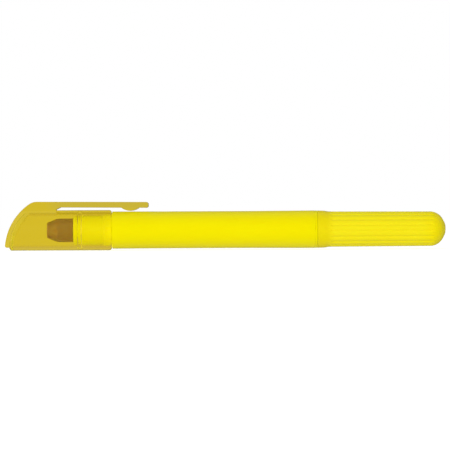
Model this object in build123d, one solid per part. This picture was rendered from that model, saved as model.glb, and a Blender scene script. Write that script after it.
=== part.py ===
from build123d import *
from math import cos, floor, radians, sin, sqrt
import os

# Twist-up gel highlighter, in millimetres.
# The pen's axis runs along X: the cap's nose is at -X, the twist knob at +X, and the clip is up (+Z).
# Stations along the pen are counted from the cap's nose, and x() turns a station into an X.
# Heights named _UP are counted from the pen's axis.

# --- driving dimensions -------------------------------------------------------------------------
LENGTH = 140.0
CAP_R = 6.38                 # outside radius of the cap's tube, which is also the axis height

# cap
CAP_BORE_R = 5.18
CAP_MOUTH = 33.87            # station of the open end
CAP_RIM_ROUND = 0.85
END_CENTRE_UP = -6.6         # the slanted end is three arcs round one centre, below the axis
SPINE_R = 18.2               # outer face of the spine that runs up the end
END_R = 16.85                # outer face of the tube's end wall
CAVITY_R = 15.5              # inner face of the tube's end wall
SPINE_FOOT_UP = -5.45
SPINE_FOOT_ROUND = 0.6       # this rounded foot is the pen's foremost point, at station 0
FOOT_RISE = SPINE_FOOT_UP + SPINE_FOOT_ROUND - END_CENTRE_UP
END_CENTRE = SPINE_FOOT_ROUND + sqrt((SPINE_R - SPINE_FOOT_ROUND) ** 2 - FOOT_RISE**2)
CLIP_WIDTH = 6.0
CLIP_TOP_UP = 9.10           # top of the clip at its root
CLIP_TIP_UP = 8.88           # top of the clip at its tip, a little nearer the barrel
CLIP_THICK = 1.82
CLIP_TIP = 45.58
SLOT_LOW = 16.26             # the slot under the clip starts with a slanted end
SLOT_HIGH = 17.69
ROOT_FLOOR_UP = 4.0          # the clip plate's edges are rounded above this height
BUMP_AT = 39.8
BUMP_R = 4.66
BUMP_LOW_UP = 6.12
BUMP_MIDDLE_UP = 8.0         # inside the clip bar: the bump is the part of its circle below this
SLOT_LOW_UP = 6.6
CLIP_EDGE_ROUND = 0.35
CLIP_TIP_ROUND = 0.7
CLIP_CORNER_ROUND = 4.5

# snap ring that holds the cap: a bead in the cap over a shallow groove round the neck
SNAP_AT = 23.75
SNAP_BEAD_R = 4.86           # the bead is inside the cap, so this is the narrowest point of its bore
SNAP_BEAD_HALF = 0.45
SNAP_BEAD_RAMP = 0.25
SNAP_BEAD_ROOT = 0.4         # the bead is rooted this far inside the cap's wall
SNAP_GROOVE_R = 4.48
SNAP_GROOVE_HALF = 0.15
SNAP_GROOVE_RAMP = 0.8

# barrel
NECK_MOUTH = 21.73
NECK_R = 4.72
NECK_EDGE = 0.45
LAND_START = 31.25
LAND_RAMP = 0.6
LAND_R = 5.1
SHOULDER = 34.05
BODY_FRONT_R = 5.91
GRIP_R = 5.86                # true cylinder in the middle of the barrel
GRIP_START = 50.0
GRIP_END = 78.0
BODY_REAR_R = 5.95
BODY_REAR_AT = 96.8
BARREL_END = 98.45
SEAM_EDGE = 0.09             # small chamfer where two mouldings meet
STICK_BORE_R = 3.95
BORE_STEP = 36.0
BARREL_BORE_R = 4.7
GUIDE_COUNT = 4              # ribs along the bore, which keep the nut from turning
GUIDE_WIDTH = 1.0
GUIDE_FOOT_R = 5.1           # they are rooted this far out, inside the barrel's wall
GUIDE_END = 91.6
BUSH_SEAT = 92.2
BUSH_SEAT_R = 4.9
BUSH_GAP = 0.1               # between the bush's front end and the step of its seat
GATE_AT = 74.2
GATE_ANGLE = 31.0            # above the side that faces -Y
GATE_R = 0.3
GATE_DEEP = 0.12

# rear bush
FLANGE_R = 5.93
FLANGE_END = 99.2
JOURNAL_R = 4.3
JOURNAL_END = 107.5
BUSH_BORE_R = 3.6
WEB_START = 105.7
SCREW_HOLE_R = 1.76
JOURNAL_BEAD_AT = 103.4
JOURNAL_BEAD_R = 4.42
JOURNAL_BEAD_HALF = 0.4

# knob
KNOB_START = 99.25
KNOB_BORE_R = 4.37
KNOB_GROOVE_R = 4.5
KNOB_GROOVE_HALF = 0.5
KNOB_CAVITY_END = 134.6
KNOB_CAVITY_EDGE = 1.2
KNOB_COLLAR = [(99.34, 5.93), (100.9, 5.88), (101.6, 5.83), (102.4, 5.70), (103.3, 5.62)]
KNOB_REAR_R = 5.50
DOME_START = 135.1           # the dome is a quarter ellipse, drawn through a few points
DOME_STEPS = 4
BOSS_R = 3.0
BOSS_START = 107.7
RIBS = 18                    # convex ribs along the knob, which meet in narrow grooves
RIB_PHASE = 6.0              # angle of the first groove below the side that faces -Y
RIB_DEEP = 0.25
RIB_CREST = 0.02             # the crests stand this far out of the turned outline, which trims them
RIB_RISE_START = 101.2       # the grooves come in between these two stations
RIB_RISE_END = 103.9
RIB_CLEAR_R = 6.25           # crest radius where the grooves are still clear of the collar

# screw and nut
LEAD = 4.0
SCREW_TIP = 59.6
THREAD_END = 96.0
THREAD_RUN_IN = 1.2          # from the screw's tip to the middle of its first turn
CORE_R = 1.55
THREAD_R = 2.5
THREAD_ROOT_HALF = 0.75      # half width of the thread at the core
THREAD_CREST_HALF = 0.4      # and at its crest
THREAD_ROOT_DEEP = 0.25      # the ridge starts this far inside the core
THREAD_CLEAR = 0.15
THREAD_RUN_OUT = 3.0         # how far the thread's cut runs on past the nut
COLLAR_START = 103.4
COLLAR_END = 105.55
COLLAR_R = 2.8
SHANK_R = 1.7
SPLINE_R = 1.95
SPLINE_WIDTH = 0.9
SPLINE_COUNT = 4
SPLINE_START = 108.6
SCREW_END = 119.5
NUT_START = 77.2
NUT_END = 83.2
NUT_R = 4.55
NUT_NOTCH = 1.3
NUT_NOTCH_LOW = 3.8
NUT_BORE_R = 1.72
NUT_SPIGOT_START = 73.2
NUT_SPIGOT_R = 2.95

# carrier and stick
STICK_TIP = 13.33
STICK_END = 48.5
STICK_R = 3.78
STICK_FLAT_R = 2.45
STICK_CONE = 3.31
HEAD_R = 3.82
HEAD_END = 50.6
HEAD_SLOPE = 0.4
SLEEVE_R = 3.5
SLEEVE_BORE_R = 2.95
SPIKE_TIP = 41.5
SPIKE_R = 1.1
BARB_R = 1.45
BARB_LENGTHS = [1.6, 0.3, 0.8, 1.6, 0.3]    # cone, step, neck, cone, step

EDGE = 0.3                   # small chamfer on turned inner parts
WIDE = 20.0                  # wider than the pen, for cutting shapes
PAST = 1.0                   # how far a cutting shape runs past the face that it opens


# --- helpers ------------------------------------------------------------------------------------
def x(station):
    """The X of a station counted from the cap's nose."""
    return station - LENGTH / 2


def turned(points):
    """A solid of revolution round the pen's axis, from (station, radius) corners in order."""
    corners = [(x(station), CAP_R + radius) for station, radius in points]
    face = make_face(Polyline([(a, 0, b) for a, b in corners], close=True))
    return revolve(face, Axis((0, 0, CAP_R), (1, 0, 0)), 360)


def rod(start, end, radius):
    """A plain cylinder on the pen's axis between two stations."""
    return turned([(start, 0), (start, radius), (end, radius), (end, 0)])


def bar(start, end, width, low_up, high_up):
    """A box along the pen between two heights above the axis."""
    box = Box(end - start, width, high_up - low_up, align=(Align.MIN, Align.CENTER, Align.MIN))
    return Pos(x(start), 0, CAP_R + low_up) * box


def end_disc(radius, width):
    """A disc across the pen, round the centre of the cap's slanted end."""
    centre = (x(END_CENTRE), 0, CAP_R + END_CENTRE_UP)
    return Plane(origin=centre, z_dir=(0, 1, 0)) * Cylinder(radius, width)


def round_the_pen(shape, count):
    """Copies of a shape at equal angles round the pen's axis."""
    axis = Pos(0, 0, CAP_R)
    return [axis * Rot(360 * i / count, 0, 0) * axis.inverse() * shape for i in range(count)]


def thread(start, end, grow):
    """The screw's left-hand thread as a solid ridge, larger all round by grow."""
    root_r = CORE_R - THREAD_ROOT_DEEP
    crest_r = THREAD_R + grow
    slope = (THREAD_ROOT_HALF - THREAD_CREST_HALF) / (THREAD_R - CORE_R)
    root_half = THREAD_ROOT_HALF + slope * (CORE_R - root_r) + grow
    crest_half = root_half - slope * (crest_r - root_r)
    path = Helix(LEAD, end - start, root_r, lefthand=True)
    corners = [(root_r, -root_half), (crest_r, -crest_half), (crest_r, crest_half), (root_r, root_half)]
    face = make_face(Polyline([(r, 0, h) for r, h in corners], close=True))
    ridge = Solid.sweep(face.faces()[0], path, is_frenet=True)
    return Plane(origin=(x(start), 0, CAP_R), z_dir=(1, 0, 0)) * ridge


def end_station(radius, up):
    """The station where an arc round the end's centre passes a height above the axis."""
    return END_CENTRE - sqrt(radius**2 - (up - END_CENTRE_UP) ** 2)


# --- parts --------------------------------------------------------------------------------------
def make_clip_plate():
    """Spine, root and clip bar: one outline seen from the side, with its outer edges rounded."""
    middle_up = (SPINE_FOOT_UP + CLIP_TOP_UP) / 2
    foot, middle, top = [
        (x(end_station(SPINE_R, up)), CAP_R + up) for up in (SPINE_FOOT_UP, middle_up, CLIP_TOP_UP)
    ]
    corners = [
        (CLIP_TIP, CLIP_TIP_UP),
        (CLIP_TIP, CLIP_TIP_UP - CLIP_THICK),
        (SLOT_HIGH, CLIP_TOP_UP - CLIP_THICK),
        (SLOT_LOW, SLOT_LOW_UP),
        (SLOT_LOW, SPINE_FOOT_UP),
    ]
    outline = [ThreePointArc(foot, middle, top)]
    outline += [Polyline([top] + [(x(station), CAP_R + up) for station, up in corners] + [foot])]
    face = make_face(outline)
    tip = face.vertices().sort_by(Axis.X)[-2:]
    face = fillet(tip, CLIP_TIP_ROUND)
    face = fillet(face.vertices().sort_by_distance(top)[0], CLIP_CORNER_ROUND)
    face = fillet(face.vertices().sort_by_distance(foot)[0], SPINE_FOOT_ROUND)
    bump = Pos(x(BUMP_AT), CAP_R + BUMP_LOW_UP + BUMP_R) * Circle(BUMP_R)
    bump -= Pos(x(BUMP_AT), CAP_R + BUMP_MIDDLE_UP) * Rectangle(WIDE, WIDE, align=(Align.CENTER, Align.MIN))
    plate = extrude(Plane.XZ * (face + bump), CLIP_WIDTH / 2, both=True)
    sides = plate.faces().filter_by(Axis.Y)
    outer = sides.edges().filter_by(lambda edge: edge.center().Z > CAP_R + ROOT_FLOOR_UP)
    return fillet(outer, CLIP_EDGE_ROUND)


def make_cap():
    ahead = bar(-PAST, END_CENTRE, WIDE, -WIDE, WIDE)
    tube = rod(0, CAP_MOUTH, CAP_R) - (ahead - end_disc(END_R, WIDE))
    tube = fillet(tube.edges(), CAP_RIM_ROUND)
    cavity = rod(0, CAP_MOUTH + PAST, CAP_BORE_R) - (ahead - end_disc(CAVITY_R, WIDE))
    bead = turned(
        [
            (SNAP_AT - SNAP_BEAD_HALF - SNAP_BEAD_RAMP, CAP_BORE_R + SNAP_BEAD_ROOT),
            (SNAP_AT - SNAP_BEAD_HALF - SNAP_BEAD_RAMP, CAP_BORE_R),
            (SNAP_AT - SNAP_BEAD_HALF, SNAP_BEAD_R),
            (SNAP_AT + SNAP_BEAD_HALF, SNAP_BEAD_R),
            (SNAP_AT + SNAP_BEAD_HALF + SNAP_BEAD_RAMP, CAP_BORE_R),
            (SNAP_AT + SNAP_BEAD_HALF + SNAP_BEAD_RAMP, CAP_BORE_R + SNAP_BEAD_ROOT),
        ]
    )
    return tube + make_clip_plate() - (cavity - bead)


def make_barrel():
    outside = turned(
        [
            (NECK_MOUTH, 0),
            (NECK_MOUTH, NECK_R - NECK_EDGE),
            (NECK_MOUTH + NECK_EDGE, NECK_R),
            (SNAP_AT - SNAP_GROOVE_HALF - SNAP_GROOVE_RAMP, NECK_R),
            (SNAP_AT - SNAP_GROOVE_HALF, SNAP_GROOVE_R),
            (SNAP_AT + SNAP_GROOVE_HALF, SNAP_GROOVE_R),
            (SNAP_AT + SNAP_GROOVE_HALF + SNAP_GROOVE_RAMP, NECK_R),
            (LAND_START, NECK_R),
            (LAND_START + LAND_RAMP, LAND_R),
            (SHOULDER, LAND_R),
            (SHOULDER, BODY_FRONT_R - SEAM_EDGE),
            (SHOULDER + SEAM_EDGE, BODY_FRONT_R),
            (GRIP_START, GRIP_R),
            (GRIP_END, GRIP_R),
            (BODY_REAR_AT, BODY_REAR_R),
            (BARREL_END - SEAM_EDGE, BODY_REAR_R),
            (BARREL_END, BODY_REAR_R - SEAM_EDGE),
            (BARREL_END, 0),
        ]
    )
    bore = rod(NECK_MOUTH - PAST, BORE_STEP + PAST, STICK_BORE_R)
    bore += rod(BORE_STEP, BARREL_END, BARREL_BORE_R)
    bore += rod(BUSH_SEAT, BARREL_END + PAST, BUSH_SEAT_R)
    guide = bar(BORE_STEP - PAST, GUIDE_END, GUIDE_WIDTH, 0, GUIDE_FOOT_R)
    guides = Part() + round_the_pen(guide, GUIDE_COUNT)
    guides -= rod(BORE_STEP - 2 * PAST, GUIDE_END + PAST, STICK_BORE_R)
    gate_axis = Rot(90 - GATE_ANGLE, 0, 0) * Pos(0, 0, GRIP_R)
    gate = Pos(x(GATE_AT), 0, CAP_R) * gate_axis * Cylinder(GATE_R, 2 * GATE_DEEP)
    return outside - bore + guides - gate


def make_rear_bush():
    front = BUSH_SEAT + BUSH_GAP
    outside = turned(
        [
            (front, 0),
            (front, BUSH_SEAT_R - EDGE),
            (front + EDGE, BUSH_SEAT_R),
            (BARREL_END, BUSH_SEAT_R),
            (BARREL_END, FLANGE_R - SEAM_EDGE),
            (BARREL_END + SEAM_EDGE, FLANGE_R),
            (FLANGE_END - SEAM_EDGE, FLANGE_R),
            (FLANGE_END, FLANGE_R - SEAM_EDGE),
            (FLANGE_END, JOURNAL_R),
            (JOURNAL_BEAD_AT - JOURNAL_BEAD_HALF, JOURNAL_R),
            (JOURNAL_BEAD_AT, JOURNAL_BEAD_R),
            (JOURNAL_BEAD_AT + JOURNAL_BEAD_HALF, JOURNAL_R),
            (JOURNAL_END - EDGE, JOURNAL_R),
            (JOURNAL_END, JOURNAL_R - EDGE),
            (JOURNAL_END, 0),
        ]
    )
    bore = rod(BUSH_SEAT, WEB_START, BUSH_BORE_R)
    return outside - bore - rod(WEB_START - PAST, JOURNAL_END + PAST, SCREW_HOLE_R)


def knob_radius(station):
    """Outside radius of the knob's straight stretch, which narrows a little to the rear."""
    front_at, front_r = KNOB_COLLAR[-1]
    return front_r + (KNOB_REAR_R - front_r) * (station - front_at) / (DOME_START - front_at)


def rib_section(station, crest_r):
    """The outline across the ribs at a station: one arc for each rib."""
    pitch = radians(360 / RIBS)

    def at(turn, radius):
        angle = radians(RIB_PHASE) + turn * pitch
        return (x(station), -radius * cos(angle), CAP_R - radius * sin(angle))

    groove_r = crest_r - RIB_DEEP
    return Wire(
        [
            ThreePointArc(at(i, groove_r), at(i + 0.5, crest_r), at(i + 1, groove_r)).edges()[0]
            for i in range(RIBS)
        ]
    )


def make_knob():
    def at(station, radius):
        return (x(station), CAP_R + radius)

    collar = Spline([at(*p) for p in KNOB_COLLAR], tangents=[(1, -0.02), (1, -0.01)])
    side = Line(at(*KNOB_COLLAR[-1]), at(DOME_START, KNOB_REAR_R))
    quarter = [radians(90 * i / DOME_STEPS) for i in range(DOME_STEPS + 1)]
    dome = Spline(
        [at(DOME_START + (LENGTH - DOME_START) * sin(a), KNOB_REAR_R * cos(a)) for a in quarter],
        tangents=[(1, -0.004), (0, -1)],
    )
    back = Line(at(LENGTH, 0), at(KNOB_START, 0))
    rim = (KNOB_START, KNOB_COLLAR[0][1] - SEAM_EDGE)
    front = Polyline([at(KNOB_START, 0), at(*rim), at(*KNOB_COLLAR[0])])
    face = Plane.XZ * make_face([front, collar, side, dome, back])
    knob = revolve(face, Axis((0, 0, CAP_R), (1, 0, 0)), 360)

    sections = [(KNOB_START - PAST, RIB_CLEAR_R), (RIB_RISE_START, RIB_CLEAR_R)]
    sections += [(station, knob_radius(station) + RIB_CREST) for station in (RIB_RISE_END, LENGTH + PAST)]
    knob &= Solid.make_loft([rib_section(*section) for section in sections], ruled=True)

    hollow = turned(
        [
            (KNOB_START - PAST, 0),
            (KNOB_START - PAST, KNOB_BORE_R),
            (JOURNAL_BEAD_AT - KNOB_GROOVE_HALF, KNOB_BORE_R),
            (JOURNAL_BEAD_AT, KNOB_GROOVE_R),
            (JOURNAL_BEAD_AT + KNOB_GROOVE_HALF, KNOB_BORE_R),
            (KNOB_CAVITY_END - KNOB_CAVITY_EDGE, KNOB_BORE_R),
            (KNOB_CAVITY_END, KNOB_BORE_R - KNOB_CAVITY_EDGE),
            (KNOB_CAVITY_END, BOSS_R),
            (BOSS_START, BOSS_R),
            (BOSS_START, 0),
        ]
    )
    return knob - hollow - screw_root()


def screw_root():
    """The splined end of the screw, which the knob's boss is pressed on."""
    root = rod(BOSS_START - EDGE, SCREW_END, SHANK_R)
    for shape in round_the_pen(bar(SPLINE_START, SCREW_END, SPLINE_WIDTH, 0, SPLINE_R), SPLINE_COUNT):
        root += shape
    return root


def make_lead_screw():
    screw = turned(
        [
            (SCREW_TIP, 0),
            (SCREW_TIP, CORE_R - EDGE),
            (SCREW_TIP + EDGE, CORE_R),
            (THREAD_END, CORE_R),
            (THREAD_END + EDGE, SHANK_R),
            (COLLAR_START, SHANK_R),
            (COLLAR_START, COLLAR_R - EDGE),
            (COLLAR_START + EDGE, COLLAR_R),
            (COLLAR_END, COLLAR_R),
            (COLLAR_END, SHANK_R),
            (BOSS_START, SHANK_R),
            (BOSS_START, 0),
        ]
    )
    screw += thread(SCREW_TIP + THREAD_RUN_IN, THREAD_END - THREAD_ROOT_HALF - EDGE, 0)
    return screw + screw_root()


def make_drive_nut():
    nut = turned(
        [
            (NUT_SPIGOT_START, 0),
            (NUT_SPIGOT_START, NUT_SPIGOT_R - EDGE),
            (NUT_SPIGOT_START + EDGE, NUT_SPIGOT_R),
            (NUT_START, NUT_SPIGOT_R),
            (NUT_START, NUT_R - EDGE),
            (NUT_START + EDGE, NUT_R),
            (NUT_END - EDGE, NUT_R),
            (NUT_END, NUT_R - EDGE),
            (NUT_END, 0),
        ]
    )
    thread_start = SCREW_TIP + THREAD_RUN_IN
    turns_ahead = floor((NUT_SPIGOT_START - PAST - thread_start) / LEAD)
    nut -= thread(thread_start + turns_ahead * LEAD, NUT_END + THREAD_RUN_OUT, THREAD_CLEAR)
    nut -= rod(NUT_SPIGOT_START - PAST, NUT_END + PAST, NUT_BORE_R)
    notch = bar(NUT_START - PAST, NUT_END + PAST, NUT_NOTCH, NUT_NOTCH_LOW, NUT_R + PAST)
    for shape in round_the_pen(notch, GUIDE_COUNT):
        nut -= shape
    return nut


def spike(past):
    """The barbed spike that holds the stick on the carrier, run on past the stick's end."""
    stations = [SPIKE_TIP]
    for length in BARB_LENGTHS:
        stations.append(stations[-1] + length)
    radii = [0, BARB_R, SPIKE_R, SPIKE_R, BARB_R, SPIKE_R]
    return turned(list(zip(stations, radii)) + [(STICK_END + past, SPIKE_R), (STICK_END + past, 0)])


def make_stick_carrier():
    outside = turned(
        [
            (STICK_END, 0),
            (STICK_END, HEAD_R),
            (HEAD_END, HEAD_R),
            (HEAD_END + HEAD_SLOPE, SLEEVE_R),
            (NUT_START, SLEEVE_R),
            (NUT_START, 0),
        ]
    )
    return outside - rod(HEAD_END, NUT_START + PAST, SLEEVE_BORE_R) + spike(PAST)


def make_gel_stick():
    stick = turned(
        [
            (STICK_TIP, 0),
            (STICK_TIP, STICK_FLAT_R),
            (STICK_TIP + STICK_CONE, STICK_R),
            (STICK_END, STICK_R),
            (STICK_END, 0),
        ]
    )
    return stick - spike(PAST)


PARTS = {
    "cap": make_cap,
    "barrel": make_barrel,
    "rear_bush": make_rear_bush,
    "knob": make_knob,
    "lead_screw": make_lead_screw,
    "drive_nut": make_drive_nut,
    "stick_carrier": make_stick_carrier,
    "gel_stick": make_gel_stick,
}

os.makedirs("parts", exist_ok=True)
for name, make in PARTS.items():
    part = make()
    export_step(part, f"parts/{name}.step")
    print(name, len(part.solids()), round(part.volume, 2))
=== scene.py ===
from math import cos, pi, radians, sin

import bpy
from mathutils import Matrix, Vector, noise


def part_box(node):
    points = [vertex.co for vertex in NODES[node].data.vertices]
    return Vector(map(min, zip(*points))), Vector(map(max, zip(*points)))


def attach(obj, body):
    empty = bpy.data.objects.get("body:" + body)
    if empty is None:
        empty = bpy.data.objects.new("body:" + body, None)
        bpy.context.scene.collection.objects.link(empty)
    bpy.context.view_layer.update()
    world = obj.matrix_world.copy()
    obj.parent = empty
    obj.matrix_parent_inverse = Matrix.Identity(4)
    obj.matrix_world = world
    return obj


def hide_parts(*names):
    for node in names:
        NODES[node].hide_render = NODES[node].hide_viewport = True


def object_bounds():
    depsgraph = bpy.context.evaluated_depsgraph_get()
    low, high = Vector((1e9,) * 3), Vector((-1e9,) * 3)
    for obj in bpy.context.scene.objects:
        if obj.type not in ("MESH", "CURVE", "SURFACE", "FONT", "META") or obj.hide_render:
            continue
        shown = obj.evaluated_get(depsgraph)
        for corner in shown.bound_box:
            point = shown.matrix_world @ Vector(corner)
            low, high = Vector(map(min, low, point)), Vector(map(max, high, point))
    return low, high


# The pen's axis runs along X: the cap's nose at -X, the twist knob at +X, the clip up. Lengths are in metres.
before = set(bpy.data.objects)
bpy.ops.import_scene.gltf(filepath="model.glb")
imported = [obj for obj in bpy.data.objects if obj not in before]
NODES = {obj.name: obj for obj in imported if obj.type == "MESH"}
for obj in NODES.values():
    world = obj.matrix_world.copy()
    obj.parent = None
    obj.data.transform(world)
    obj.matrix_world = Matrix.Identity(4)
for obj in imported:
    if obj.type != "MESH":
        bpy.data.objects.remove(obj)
CAD_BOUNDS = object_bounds()
MM = 0.001
LENGTH = (CAD_BOUNDS[1] - CAD_BOUNDS[0]).x
AXIS_Z = sum(corner.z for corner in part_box("barrel")) / 2
CLIP_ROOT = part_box("cap")[0].x + 17.7 * MM           # where the clip leaves the cap's tube
KNOB_START, KNOB_END = (corner.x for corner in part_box("knob"))

# --- camera: the photograph's framing ---------------------------------------------------------------
CAMERA_DISTANCE = 0.9
CAMERA_ROLL = -0.26                        # degrees: the pen's knob end stands a hair higher
VIEW_WIDTH = LENGTH * 1.0227               # the pen fills nearly the whole width
VIEW_MIDDLE_X = -0.00013
VIEW_MIDDLE_Z = AXIS_Z + 0.00146
SENSOR = 36.0                              # millimetres
NEAREST = 0.01                             # nothing closer to the camera than this is seen

# --- light ------------------------------------------------------------------------------------------
WHITE = (1.0, 1.0, 1.0)
BACKDROP = 1.0                             # what the camera sees behind the pen
ROOM = 0.56                                # light from the sides, from above and from below
ROOM_ENDS = 2.0                            # share added to it from in front of the pen and from behind it
ROOM_SHADE = 0.5                           # share taken from it beyond the knob's end
MIRROR_FRONT = 0.50                        # what the plastic mirrors from in front and from the sides
MIRROR_BACK = 0.08                         # and from behind
PANEL = 3.0                                # a bright panel to the front left, seen only in the plastic
PANEL_FRONT = -0.3                         # it fades from this Y of a direction to nothing at 0,
PANEL_EDGES = (-0.96, -0.88, -0.80, -0.50)           # and it starts, is full, fades and ends at these X
THROUGH = (0.705, 0.543, 0.13)             # what shows through the clear cap: the shaded surface behind it
THROUGH_STEEP = (0.626, 0.465, 0.115)      # and what shows there from above and below
STEEP = (0.2, 0.6)                         # how far up or down a direction points where the two give way
PANEL_THROUGH = (1.0, 0.82, 0.25)          # the panel's colour as it shows there
LAMP_PLACE = (-0.05, -0.85, 0.15)
LAMP_SIZE = (0.9, 0.6)
LAMP_POWER = 0.4                           # watts
FLOOR_REACH = 3.0                          # from the middle of the floor to its edges
FLOOR_GLOW = 0.45
FLOOR_COLOUR = (0.8, 0.8, 0.8)
LIGHT_BOUNCES = 32                         # light runs round inside the clear cap many times

# --- colours: each is a dark and a light shade that noise blends ------------------------------------
BARREL_YELLOW = (0.91, 0.79, 0.001), (0.925, 0.81, 0.0015)
COLLAR_YELLOW = (0.862, 0.718, 0.001), (0.876, 0.732, 0.0015)
# painted sheen: the knob's ribbed middle is tinted paler and bluer than its collar and dome, for the sheen on
# the rib crests
RIB_SHEEN_YELLOW = (0.91, 0.785, 0.007), (0.925, 0.80, 0.008)
DOME_YELLOW = (0.905, 0.765, 0.0015), (0.92, 0.78, 0.002)
TUBE_AMBER = (0.975, 0.955, 0.40), (0.99, 0.97, 0.435)
# painted shade: the cap's top strip and its clip get darker tints than the rest of the tube
SPINE_SHADE_AMBER = (0.933, 0.893, 0.21), (0.948, 0.908, 0.23)
CLIP_SHADE_AMBER = (0.848, 0.838, 0.42), (0.863, 0.853, 0.45)
ACETAL = (0.78, 0.78, 0.74), (0.84, 0.84, 0.80)
WAX = (0.315, 0.165, 0.10), (0.365, 0.20, 0.13)

# where one colour gives way to the next: from and to along X, or from and to up Z
# spans where the knob's painted rib sheen fades in and fades out again
COLLAR_TO_RIBS = KNOB_START + 2.5 * MM, KNOB_START + 5.5 * MM
RIBS_TO_DOME = KNOB_END - 8.5 * MM, KNOB_END - 4.5 * MM
# the next three spans place the painted shade on the cap's top strip and on its clip
TUBE_TO_SPINE = AXIS_Z + 5.6 * MM, AXIS_Z + 6.4 * MM
SPINE_TO_CLIP = CLIP_ROOT - 5 * MM, CLIP_ROOT
TUBE_TO_CLIP = AXIS_Z + 6.3 * MM, AXIS_Z + 7.0 * MM

# --- gel stick --------------------------------------------------------------------------------------
STICK_SIDES = 96
STICK_STEPS = 150
TIP_FLAT = 0.648                           # radius of the blunt tip, as a share of the stick's
CONE_LENGTH = 3.31 * MM
SOFTENED = 0.25 * MM                       # how far each side of an edge is rounded off
SHOULDER_SOFTENED = 0.6 * MM
DENT = 0.05 * MM                           # depth of the lumps and drag marks
LUMP_SHARE = 0.6                           # the lumps' share of that depth; the marks have the rest
LUMPS = (250, 1.3)                         # how fast the lumps change, per metre along and round the stick
MARKS = (90, 9)                            # and the drag marks


# --- node helpers -----------------------------------------------------------------------------------
NOISE_SPAN = (0.3, 0.7)                    # noise seldom leaves this range


class Graph:
    """A small wrapper that adds nodes to one tree and links them."""

    def __init__(self, tree):
        self.tree = tree
        self.nodes = tree.nodes
        self.nodes.clear()

    def add(self, kind, **settings):
        node = self.nodes.new(kind)
        for name, value in settings.items():
            setattr(node, name, value)
        return node

    def feed(self, value, socket):
        """Link a node's output to the socket, or set the socket to a number or a colour."""
        if isinstance(value, bpy.types.NodeSocket):
            self.tree.links.new(value, socket)
        elif isinstance(value, tuple):
            socket.default_value = (*value, 1)
        else:
            socket.default_value = value

    def noise(self, coords, scale, detail=3.0, roughness=0.5, distortion=0.0):
        node = self.add("ShaderNodeTexNoise")
        self.feed(coords, node.inputs["Vector"])
        node.inputs["Scale"].default_value = scale
        node.inputs["Detail"].default_value = detail
        node.inputs["Roughness"].default_value = roughness
        node.inputs["Distortion"].default_value = distortion
        return node.outputs["Fac"]

    def spread(self, value, low, high, new_low, new_high):
        node = self.add("ShaderNodeMapRange")
        self.feed(value, node.inputs["Value"])
        names = ("From Min", "From Max", "To Min", "To Max")
        for name, number in zip(names, (low, high, new_low, new_high)):
            node.inputs[name].default_value = number
        return node.outputs["Result"]

    def between(self, value, low, high):
        """Noise, spread over a new range."""
        return self.spread(value, *NOISE_SPAN, low, high)

    def mix(self, factor, first, second):
        node = self.add("ShaderNodeMix", data_type="RGBA")
        for value, name in ((factor, "Factor"), (first, "A"), (second, "B")):
            self.feed(value, node.inputs[name])
        return node.outputs["Result"]

    def maths(self, operation, *values):
        node = self.add("ShaderNodeMath", operation=operation)
        for value, socket in zip(values, node.inputs):
            self.feed(value, socket)
        return node.outputs["Value"]

    def split(self, coords):
        node = self.add("ShaderNodeSeparateXYZ")
        self.feed(coords, node.inputs["Vector"])
        return node.outputs

    def stretch(self, coords, scale):
        node = self.add("ShaderNodeMapping")
        self.feed(coords, node.inputs["Vector"])
        node.inputs["Scale"].default_value = scale
        return node.outputs["Vector"]

    def bump(self, height, strength, distance, below=None):
        node = self.add("ShaderNodeBump")
        self.feed(height, node.inputs["Height"])
        node.inputs["Strength"].default_value = strength
        node.inputs["Distance"].default_value = distance
        if below is not None:
            self.feed(below, node.inputs["Normal"])
        return node.outputs["Normal"]

    def background(self, colour, strength):
        node = self.add("ShaderNodeBackground")
        self.feed(colour, node.inputs["Color"])
        self.feed(strength, node.inputs["Strength"])
        return node.outputs["Background"]

    def mix_shaders(self, factor, below, above):
        node = self.add("ShaderNodeMixShader")
        for value, socket in zip((factor, below, above), node.inputs):
            self.feed(value, socket)
        return node.outputs["Shader"]

    def add_shaders(self, first, second):
        node = self.add("ShaderNodeAddShader")
        for value, socket in zip((first, second), node.inputs):
            self.feed(value, socket)
        return node.outputs["Shader"]


def new_material(name, **values):
    """A material with one Principled shader, its sockets set, and its object coordinates in metres."""
    material = bpy.data.materials.new(name)
    material.use_nodes = True
    graph = Graph(material.node_tree)
    output = graph.add("ShaderNodeOutputMaterial")
    shader = graph.add("ShaderNodeBsdfPrincipled")
    graph.feed(shader.outputs["BSDF"], output.inputs["Surface"])
    coords = graph.add("ShaderNodeTexCoord").outputs["Object"]
    for socket, value in values.items():
        shader.inputs[socket.replace("_", " ")].default_value = value
    return material, graph, shader, output, coords


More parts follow.
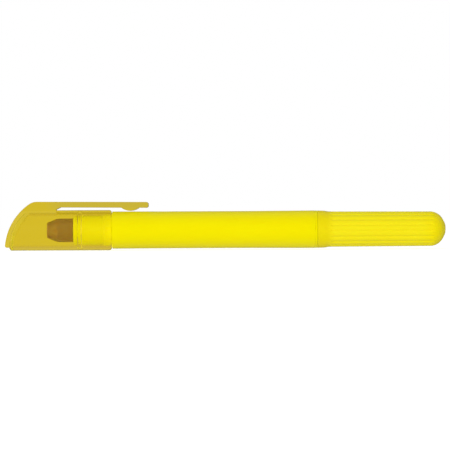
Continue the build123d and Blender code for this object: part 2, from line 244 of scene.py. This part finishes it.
# --- materials --------------------------------------------------------------------------------------
def yellow_plastic(name, colours, sheen_blue=0.0, zones=()):
    """Fluorescent yellow moulding: satin, a little translucent, with moulding grain and faint flow marks.

    A zone is the span along X where its own colours take over.
    """
    material, graph, shader, _, coords = new_material(
        name,
        IOR=1.49,
        Subsurface_Weight=0.25,
        Subsurface_Scale=0.0008,
        Subsurface_Radius=(1.0, 0.8, 0.1),
        Specular_Tint=(1.0, 0.9, sheen_blue, 1.0),
    )
    stretched = graph.stretch(coords, (40, 200, 200))
    flow = graph.noise(stretched, scale=1.0, detail=3, roughness=0.55, distortion=0.6)
    flow = graph.between(flow, 0, 1)
    colour = graph.mix(flow, *colours)
    for (start, end), zone_colours in zones:
        past_start = graph.spread(graph.split(coords)["X"], start, end, 0, 1)
        colour = graph.mix(past_start, colour, graph.mix(flow, *zone_colours))
    graph.feed(colour, shader.inputs["Base Color"])
    haze = graph.noise(coords, scale=900, detail=4, roughness=0.6)
    graph.feed(graph.between(haze, 0.30, 0.42), shader.inputs["Roughness"])
    grain = graph.noise(coords, scale=9000, detail=2)
    grain = graph.bump(grain, strength=0.08, distance=0.02 * MM)
    drag = graph.noise(graph.stretch(coords, (400, 6000, 6000)), scale=1.0, detail=3, roughness=0.6)
    graph.feed(graph.bump(drag, strength=0.03, distance=0.02 * MM, below=grain), shader.inputs["Normal"])
    return material


def natural_acetal():
    """Milky white acetal of the mechanism, with faint flow marks."""
    material, graph, shader, _, coords = new_material(
        "natural_acetal",
        IOR=1.48,
        Subsurface_Weight=0.3,
        Subsurface_Scale=0.001,
        Subsurface_Radius=(1, 0.9, 0.8),
    )
    flow = graph.between(graph.noise(coords, scale=250), 0, 1)
    graph.feed(graph.mix(flow, *ACETAL), shader.inputs["Base Color"])
    haze = graph.noise(coords, scale=1500)
    graph.feed(graph.between(haze, 0.35, 0.5), shader.inputs["Roughness"])
    grain = graph.noise(coords, scale=7000)
    graph.feed(graph.bump(grain, strength=0.1, distance=0.02 * MM), shader.inputs["Normal"])
    return material


def clear_amber():
    """Tinted clear polypropylene of the cap, darker where it is thick, with painted shade on its top strip
    and clip, and a faint haze and ripple.
    """
    material, graph, shader, output, coords = new_material(
        "clear_amber_plastic",
        IOR=1.25,
        Transmission_Weight=1.0,
        Specular_Tint=(1.0, 0.95, 0.5, 1.0),
    )
    place = graph.split(coords)
    flow = graph.noise(graph.stretch(coords, (80, 250, 250)), scale=1.0, detail=3, distortion=0.5)
    flow = graph.between(flow, 0, 1)
    tube, spine, clip = (graph.mix(flow, *colours) for colours in (TUBE_AMBER, SPINE_SHADE_AMBER, CLIP_SHADE_AMBER))
    # painted shade: a darker tint along the top of the tube and on the clip
    on_shaded_spine = graph.spread(place["Z"], *TUBE_TO_SPINE, 0, 1)
    past_root = graph.spread(place["X"], *SPINE_TO_CLIP, 0, 1)
    on_shaded_clip = graph.maths("MULTIPLY", past_root, graph.spread(place["Z"], *TUBE_TO_CLIP, 0, 1))
    colour = graph.mix(on_shaded_clip, graph.mix(on_shaded_spine, tube, spine), clip)
    graph.feed(colour, shader.inputs["Base Color"])
    haze = graph.noise(coords, scale=700, detail=4, roughness=0.6)
    graph.feed(graph.between(haze, 0.05, 0.12), shader.inputs["Roughness"])
    ripple = graph.noise(graph.stretch(coords, (120, 500, 500)), scale=1.0, detail=2, roughness=0.4)
    graph.feed(graph.bump(ripple, strength=0.05, distance=0.05 * MM), shader.inputs["Normal"])
    depth = graph.add("ShaderNodeVolumeAbsorption")
    depth.inputs["Color"].default_value = (0.96, 0.98, 0.05, 1)
    depth.inputs["Density"].default_value = 65
    graph.feed(depth.outputs["Volume"], output.inputs["Volume"])
    return material


def gel_wax():
    """Waxy translucent gel of the stick: cloudy, with fine lengthwise drag marks."""
    material, graph, shader, _, coords = new_material(
        "gel_wax",
        IOR=1.45,
        Subsurface_Weight=0.6,
        Subsurface_Scale=0.0015,
        Subsurface_Radius=(1.0, 0.55, 0.08),
        Specular_Tint=(1.0, 0.95, 0.7, 1.0),
    )
    cloud = graph.noise(coords, scale=350, detail=5, roughness=0.6, distortion=0.8)
    graph.feed(graph.mix(graph.between(cloud, 0, 1), *WAX), shader.inputs["Base Color"])
    haze = graph.noise(coords, scale=1200, detail=4)
    graph.feed(graph.between(haze, 0.28, 0.45), shader.inputs["Roughness"])
    drag = graph.noise(graph.stretch(coords, (150, 1800, 1800)), scale=1.0, detail=4, roughness=0.6)
    graph.feed(graph.bump(drag, strength=0.15, distance=0.05 * MM), shader.inputs["Normal"])
    return material


# --- pieces -----------------------------------------------------------------------------------------
def rounded(before, corner, after, reach, steps=8):
    """Points of a curve that cuts a corner, starting and ending a given reach away from it."""
    start = corner + (before - corner).normalized() * reach
    end = corner + (after - corner).normalized() * reach
    shares = (i / steps for i in range(steps + 1))
    return [start * (1 - t) ** 2 + corner * 2 * t * (1 - t) + end * t**2 for t in shares]


def stick_profile(front, back, radius):
    """The stick's outline as (place along X, radius), from the middle of its tip to the middle of its end."""
    tip, flat = Vector((front, 0)), Vector((front, TIP_FLAT * radius))
    shoulder, end = Vector((front + CONE_LENGTH, radius)), Vector((back, radius))
    profile = [tip, tip.lerp(flat, 0.5)]
    profile += rounded(tip, flat, shoulder, SOFTENED)
    profile += rounded(flat, shoulder, end, SHOULDER_SOFTENED)
    profile += [profile[-1].lerp(end, i / STICK_STEPS) for i in range(1, STICK_STEPS + 1)]
    return profile + [Vector((back, 0))]


def dent(along, across):
    """Depth of the lumps and drag marks at one point of the stick's surface."""
    lumps, marks = (
        0.5 + 0.5 * noise.noise(Vector((along * lengthwise, *(across.yz * round_it))))
        for lengthwise, round_it in (LUMPS, MARKS)
    )
    return DENT * (LUMP_SHARE * lumps + (1 - LUMP_SHARE) * marks)


def make_stick(material):
    """The gel stick with the soft edges, lumps and drag marks of a used one, just inside its CAD solid."""
    low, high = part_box("gel_stick")
    middle = (low + high) / 2
    radius = (high.z - low.z) / 2
    profile = stick_profile(low.x, high.x, radius)
    rings = profile[1:-1]
    points, faces = [], []
    for along, r in rings:
        for i in range(STICK_SIDES):
            angle = 2 * pi * i / STICK_SIDES
            across = Vector((0, cos(angle), sin(angle)))
            height = r - dent(along, across) * r / radius
            points.append(Vector((along, middle.y, middle.z)) + across * height)

    def side(ring):
        """The two corners of each of a ring's sides."""
        start = ring * STICK_SIDES
        return ((start + i, start + (i + 1) % STICK_SIDES) for i in range(STICK_SIDES))

    for ring in range(len(rings) - 1):
        faces += [(a, b, b + STICK_SIDES, a + STICK_SIDES) for a, b in side(ring)]
    for ring, along, flip in ((0, profile[0].x, False), (len(rings) - 1, profile[-1].x, True)):
        hub = len(points)
        points.append(Vector((along, middle.y, middle.z)))
        faces += [(a, b, hub) if flip else (b, a, hub) for a, b in side(ring)]
    mesh = bpy.data.meshes.new("gel_stick_soft")
    mesh.from_pydata(points, [], faces)
    mesh.shade_smooth()
    mesh.materials.append(material)
    stick = bpy.data.objects.new("gel_stick_soft", mesh)
    bpy.context.scene.collection.objects.link(stick)
    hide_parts("gel_stick")
    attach(stick, "carrier")


def dress_nodes():
    """A material for every CAD node, and the soft gel stick in place of the plain one."""
    barrel_yellow = yellow_plastic("fluorescent_yellow_barrel", BARREL_YELLOW)
    # the rib zone carries a painted sheen; the collar and dome keep deeper yellows
    knob_zones = ((COLLAR_TO_RIBS, RIB_SHEEN_YELLOW), (RIBS_TO_DOME, DOME_YELLOW))
    acetal = natural_acetal()
    wax = gel_wax()
    materials = {
        "cap": clear_amber(),
        "barrel": barrel_yellow,
        "rear_bush": barrel_yellow,
        "knob": yellow_plastic("fluorescent_yellow_knob", COLLAR_YELLOW, sheen_blue=0.1, zones=knob_zones),
        "lead_screw": acetal,
        "drive_nut": acetal,
        "stick_carrier": acetal,
        "gel_stick": wax,
    }
    for name, node in NODES.items():
        node.data.materials.clear()
        node.data.materials.append(materials[name])
    make_stick(wax)


# --- stage ------------------------------------------------------------------------------------------
def make_world():
    """White light all round, stronger in front and behind. Mirrored and clear rays meet their own shades."""
    world = bpy.data.worlds.new("studio")
    world.cycles.sampling_method = "NONE"            # each kind of ray then meets exactly its own shade
    bpy.context.scene.world = world
    world.use_nodes = True
    graph = Graph(world.node_tree)
    output = graph.add("ShaderNodeOutputWorld")
    rays = graph.add("ShaderNodeLightPath").outputs
    way = graph.split(graph.add("ShaderNodeTexCoord").outputs["Generated"])

    start, full, fade, end = PANEL_EDGES
    panel = graph.spread(way["X"], fade, end, PANEL, 0)
    panel = graph.maths("MULTIPLY", panel, graph.spread(way["Y"], PANEL_FRONT, 0, 1, 0))
    panel = graph.maths("MULTIPLY", panel, graph.spread(way["X"], start, full, 0, 1))

    steep = graph.spread(graph.maths("ABSOLUTE", way["Z"]), *STEEP, 0, 1)
    behind = graph.mix_shaders(steep, graph.background(THROUGH, 1.0), graph.background(THROUGH_STEEP, 1.0))
    through = graph.add_shaders(behind, graph.background(PANEL_THROUGH, panel))

    mirrored = graph.spread(way["Y"], 0, 1, MIRROR_FRONT, MIRROR_BACK)
    mirrored = graph.background(WHITE, graph.maths("ADD", mirrored, panel))

    ends = graph.maths("MULTIPLY", way["Y"], way["Y"])
    room = graph.spread(ends, 0, 1, ROOM, ROOM * (1 + ROOM_ENDS))
    room = graph.maths("MULTIPLY", room, graph.spread(way["X"], 0, 1, 1, 1 - ROOM_SHADE))
    room = graph.background(WHITE, room)

    light = graph.mix_shaders(rays["Is Transmission Ray"], mirrored, through)
    light = graph.mix_shaders(graph.maths("MINIMUM", rays["Diffuse Depth"], 1.0), light, room)
    light = graph.mix_shaders(rays["Is Camera Ray"], light, graph.background(WHITE, BACKDROP))
    graph.feed(light, output.inputs["Surface"])


def make_floor():
    """A pale floor at the height that the cap rests on."""
    mesh = bpy.data.meshes.new("floor")
    corners = [(x * FLOOR_REACH, y * FLOOR_REACH, 0) for x, y in ((-1, -1), (1, -1), (1, 1), (-1, 1))]
    mesh.from_pydata(corners, [], [(0, 1, 2, 3)])
    floor = bpy.data.objects.new("floor", mesh)
    bpy.context.scene.collection.objects.link(floor)
    material = bpy.data.materials.new("pale_floor")
    material.use_nodes = True
    graph = Graph(material.node_tree)
    output = graph.add("ShaderNodeOutputMaterial")
    glow = graph.add("ShaderNodeEmission")
    glow.inputs["Strength"].default_value = FLOOR_GLOW
    matt = graph.add("ShaderNodeBsdfDiffuse")
    matt.inputs["Color"].default_value = (*FLOOR_COLOUR, 1)
    graph.feed(graph.add_shaders(glow.outputs["Emission"], matt.outputs["BSDF"]), output.inputs["Surface"])
    mesh.materials.append(material)
    floor.visible_diffuse = floor.visible_glossy = floor.visible_transmission = False


def make_lamp():
    """One soft lamp in front, above and a little left, which the camera and the clear cap don't show."""
    data = bpy.data.lights.new("front_softbox", "AREA")
    data.shape = "RECTANGLE"
    data.size, data.size_y = LAMP_SIZE
    data.energy = LAMP_POWER
    lamp = bpy.data.objects.new("front_softbox", data)
    lamp.location = LAMP_PLACE
    aim = Vector((0, 0, AXIS_Z)) - lamp.location
    lamp.rotation_euler = aim.to_track_quat("-Z", "Y").to_euler()
    lamp.visible_camera = False
    lamp.visible_transmission = False
    bpy.context.scene.collection.objects.link(lamp)


def make_camera():
    data = bpy.data.cameras.new("camera")
    data.sensor_width = SENSOR
    data.lens = SENSOR * CAMERA_DISTANCE / VIEW_WIDTH
    data.clip_start = NEAREST
    camera = bpy.data.objects.new("camera", data)
    place = Matrix.Translation((VIEW_MIDDLE_X, -CAMERA_DISTANCE, VIEW_MIDDLE_Z))
    level = Matrix.Rotation(radians(90), 4, "X")
    camera.matrix_world = place @ level @ Matrix.Rotation(radians(CAMERA_ROLL), 4, "Z")
    bpy.context.scene.collection.objects.link(camera)
    bpy.context.scene.camera = camera


make_camera()
make_world()
make_floor()
make_lamp()
dress_nodes()
bpy.context.scene.view_settings.view_transform = "Standard"
cycles = bpy.context.scene.cycles
cycles.blur_glossy = 0                     # light that has entered the clear cap leaves it unblurred
cycles.max_bounces = cycles.glossy_bounces = cycles.transmission_bounces = LIGHT_BOUNCES
